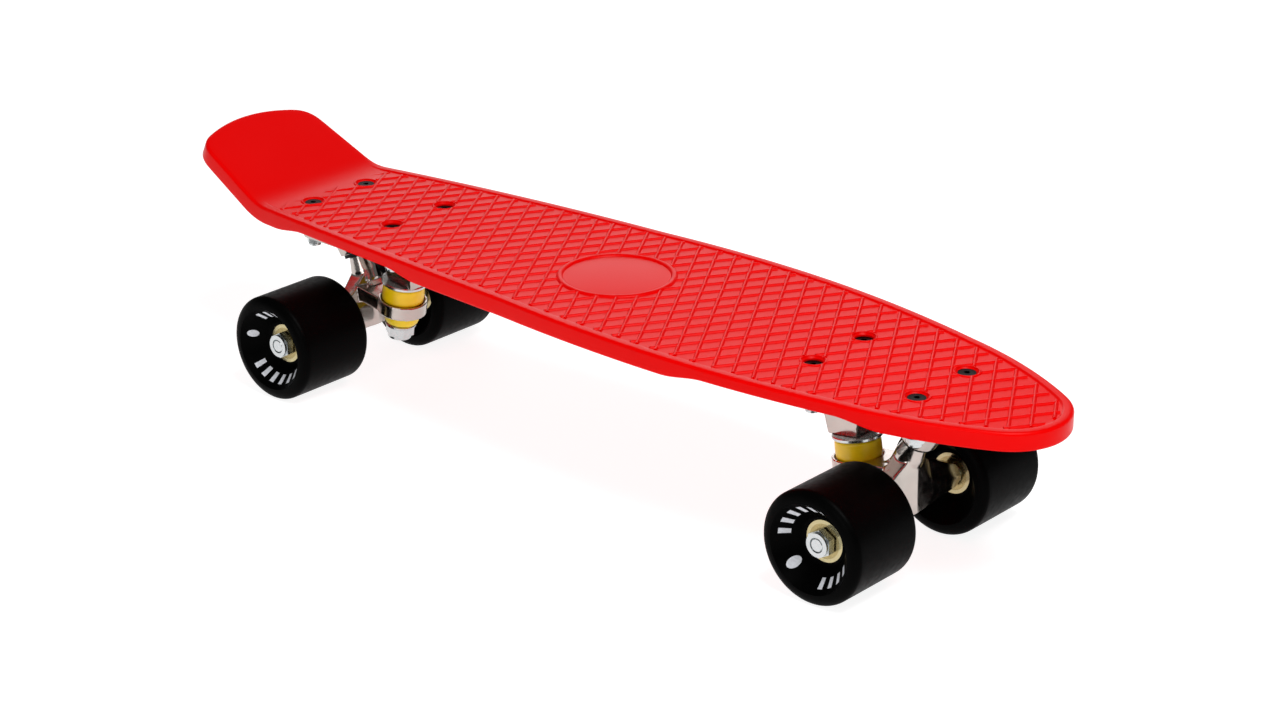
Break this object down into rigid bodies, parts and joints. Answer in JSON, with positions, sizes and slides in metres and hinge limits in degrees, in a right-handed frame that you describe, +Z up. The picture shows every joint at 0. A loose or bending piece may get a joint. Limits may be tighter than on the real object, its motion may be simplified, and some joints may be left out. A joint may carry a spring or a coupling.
{
  "type": "skateboard",
  "caption": "Short moulded cruiser skateboard with a kicked tail, raised rim, two sprung steering trucks and four free-rolling wheels on ball bearings.",
  "frame": {"origin": "on the floor, under the middle of the board's length and on its centre line", "axes": "+X towards the nose, +Y to the rider's left when facing the nose, +Z up"},
  "size_m": [0.5761, 0.1548, 0.1274],
  "materials": {
    "deck_plastic": "glossy, raised diamond tread on top",
    "truck_aluminium": "die cast and polished",
    "pivot_rubber": "matt",
    "bushing_urethane": "smooth cast",
    "zinc_steel": "bright zinc plated",
    "black_steel": "black oxide",
    "wheel_urethane": "smooth cast, slight sheen",
    "bearing_steel": "ground, pale gold",
    "bearing_shield": "pressed, yellow zinc",
    "cage_plastic": "natural nylon"
  },
  "bodies": {
    "deck": {"deck": "deck_plastic", "front_baseplate": "truck_aluminium", "front_pivot_cup": "pivot_rubber", "front_kingpin": "zinc_steel", "front_kingpin_nut": "zinc_steel", "front_board_side_cup_washer": "zinc_steel", "front_board_side_bushing": "bushing_urethane", "front_road_side_bushing": "bushing_urethane", "front_road_side_cup_washer": "zinc_steel", "front_mounting_bolts": "black_steel", "front_mounting_nuts": "zinc_steel", "rear_baseplate": "truck_aluminium", "rear_pivot_cup": "pivot_rubber", "rear_kingpin": "zinc_steel", "rear_kingpin_nut": "zinc_steel", "rear_board_side_cup_washer": "zinc_steel", "rear_board_side_bushing": "bushing_urethane", "rear_road_side_bushing": "bushing_urethane", "rear_road_side_cup_washer": "zinc_steel", "rear_mounting_bolts": "black_steel", "rear_mounting_nuts": "zinc_steel"},
    "front_left_wheel": {"front_left_wheel": "wheel_urethane", "front_left_bearing_outer_rings": "bearing_steel", "front_left_bearing_shields": "bearing_shield"},
    "front_left_cages": {"front_left_bearing_cages": "cage_plastic", "front_left_bearing_balls": "bearing_steel"},
    "front_right_wheel": {"front_right_wheel": "wheel_urethane", "front_right_bearing_outer_rings": "bearing_steel", "front_right_bearing_shields": "bearing_shield"},
    "front_right_cages": {"front_right_bearing_cages": "cage_plastic", "front_right_bearing_balls": "bearing_steel"},
    "front_hanger": {"front_hanger": "truck_aluminium", "front_axle": "zinc_steel", "front_speed_washers": "zinc_steel", "front_axle_nuts": "zinc_steel", "front_left_bearing_inner_rings": "bearing_steel", "front_left_bearing_spacer": "zinc_steel", "front_right_bearing_inner_rings": "bearing_steel", "front_right_bearing_spacer": "zinc_steel"},
    "rear_left_wheel": {"rear_left_wheel": "wheel_urethane", "rear_left_bearing_outer_rings": "bearing_steel", "rear_left_bearing_shields": "bearing_shield"},
    "rear_left_cages": {"rear_left_bearing_cages": "cage_plastic", "rear_left_bearing_balls": "bearing_steel"},
    "rear_right_wheel": {"rear_right_wheel": "wheel_urethane", "rear_right_bearing_outer_rings": "bearing_steel", "rear_right_bearing_shields": "bearing_shield"},
    "rear_right_cages": {"rear_right_bearing_cages": "cage_plastic", "rear_right_bearing_balls": "bearing_steel"},
    "rear_hanger": {"rear_hanger": "truck_aluminium", "rear_axle": "zinc_steel", "rear_speed_washers": "zinc_steel", "rear_axle_nuts": "zinc_steel", "rear_left_bearing_inner_rings": "bearing_steel", "rear_left_bearing_spacer": "zinc_steel", "rear_right_bearing_inner_rings": "bearing_steel", "rear_right_bearing_spacer": "zinc_steel"}
  },
  "joints": [
    {"name": "front_truck_steer", "type": "hinge", "parent": "deck", "child": "front_hanger", "pos_m": [0.2056, 0, 0.067], "axis": [0.8214, 0, 0.5704], "range_deg": [-15, 15], "stiffness_Nm_per_rad": 45, "deforming": ["front_board_side_bushing", "front_road_side_bushing"]},
    {"name": "front_left_wheel_spin", "type": "hinge", "parent": "front_hanger", "child": "front_left_wheel", "pos_m": [0.1976, 0.0524, 0.03], "axis": [0, 1, 0], "continuous": true},
    {"name": "front_left_cage_spin", "type": "hinge", "parent": "front_hanger", "child": "front_left_cages", "pos_m": [0.1976, 0.0524, 0.03], "axis": [0, 1, 0], "continuous": true},
    {"name": "front_right_wheel_spin", "type": "hinge", "parent": "front_hanger", "child": "front_right_wheel", "pos_m": [0.1976, -0.0524, 0.03], "axis": [0, 1, 0], "continuous": true},
    {"name": "front_right_cage_spin", "type": "hinge", "parent": "front_hanger", "child": "front_right_cages", "pos_m": [0.1976, -0.0524, 0.03], "axis": [0, 1, 0], "continuous": true},
    {"name": "rear_truck_steer", "type": "hinge", "parent": "deck", "child": "rear_hanger", "pos_m": [-0.1934, 0, 0.067], "axis": [-0.8214, 0, 0.5704], "range_deg": [-15, 15], "stiffness_Nm_per_rad": 45, "deforming": ["rear_board_side_bushing", "rear_road_side_bushing"]},
    {"name": "rear_left_wheel_spin", "type": "hinge", "parent": "rear_hanger", "child": "rear_left_wheel", "pos_m": [-0.1854, 0.0524, 0.03], "axis": [0, 1, 0], "continuous": true},
    {"name": "rear_left_cage_spin", "type": "hinge", "parent": "rear_hanger", "child": "rear_left_cages", "pos_m": [-0.1854, 0.0524, 0.03], "axis": [0, 1, 0], "continuous": true},
    {"name": "rear_right_wheel_spin", "type": "hinge", "parent": "rear_hanger", "child": "rear_right_wheel", "pos_m": [-0.1854, -0.0524, 0.03], "axis": [0, 1, 0], "continuous": true},
    {"name": "rear_right_cage_spin", "type": "hinge", "parent": "rear_hanger", "child": "rear_right_cages", "pos_m": [-0.1854, -0.0524, 0.03], "axis": [0, 1, 0], "continuous": true}
  ],
  "couplings": [
    {"joint": "front_left_cage_spin", "follows": "front_left_wheel_spin", "ratio": 0.6323},
    {"joint": "front_right_cage_spin", "follows": "front_right_wheel_spin", "ratio": 0.6323},
    {"joint": "rear_left_cage_spin", "follows": "rear_left_wheel_spin", "ratio": 0.6323},
    {"joint": "rear_right_cage_spin", "follows": "rear_right_wheel_spin", "ratio": 0.6323}
  ]
}
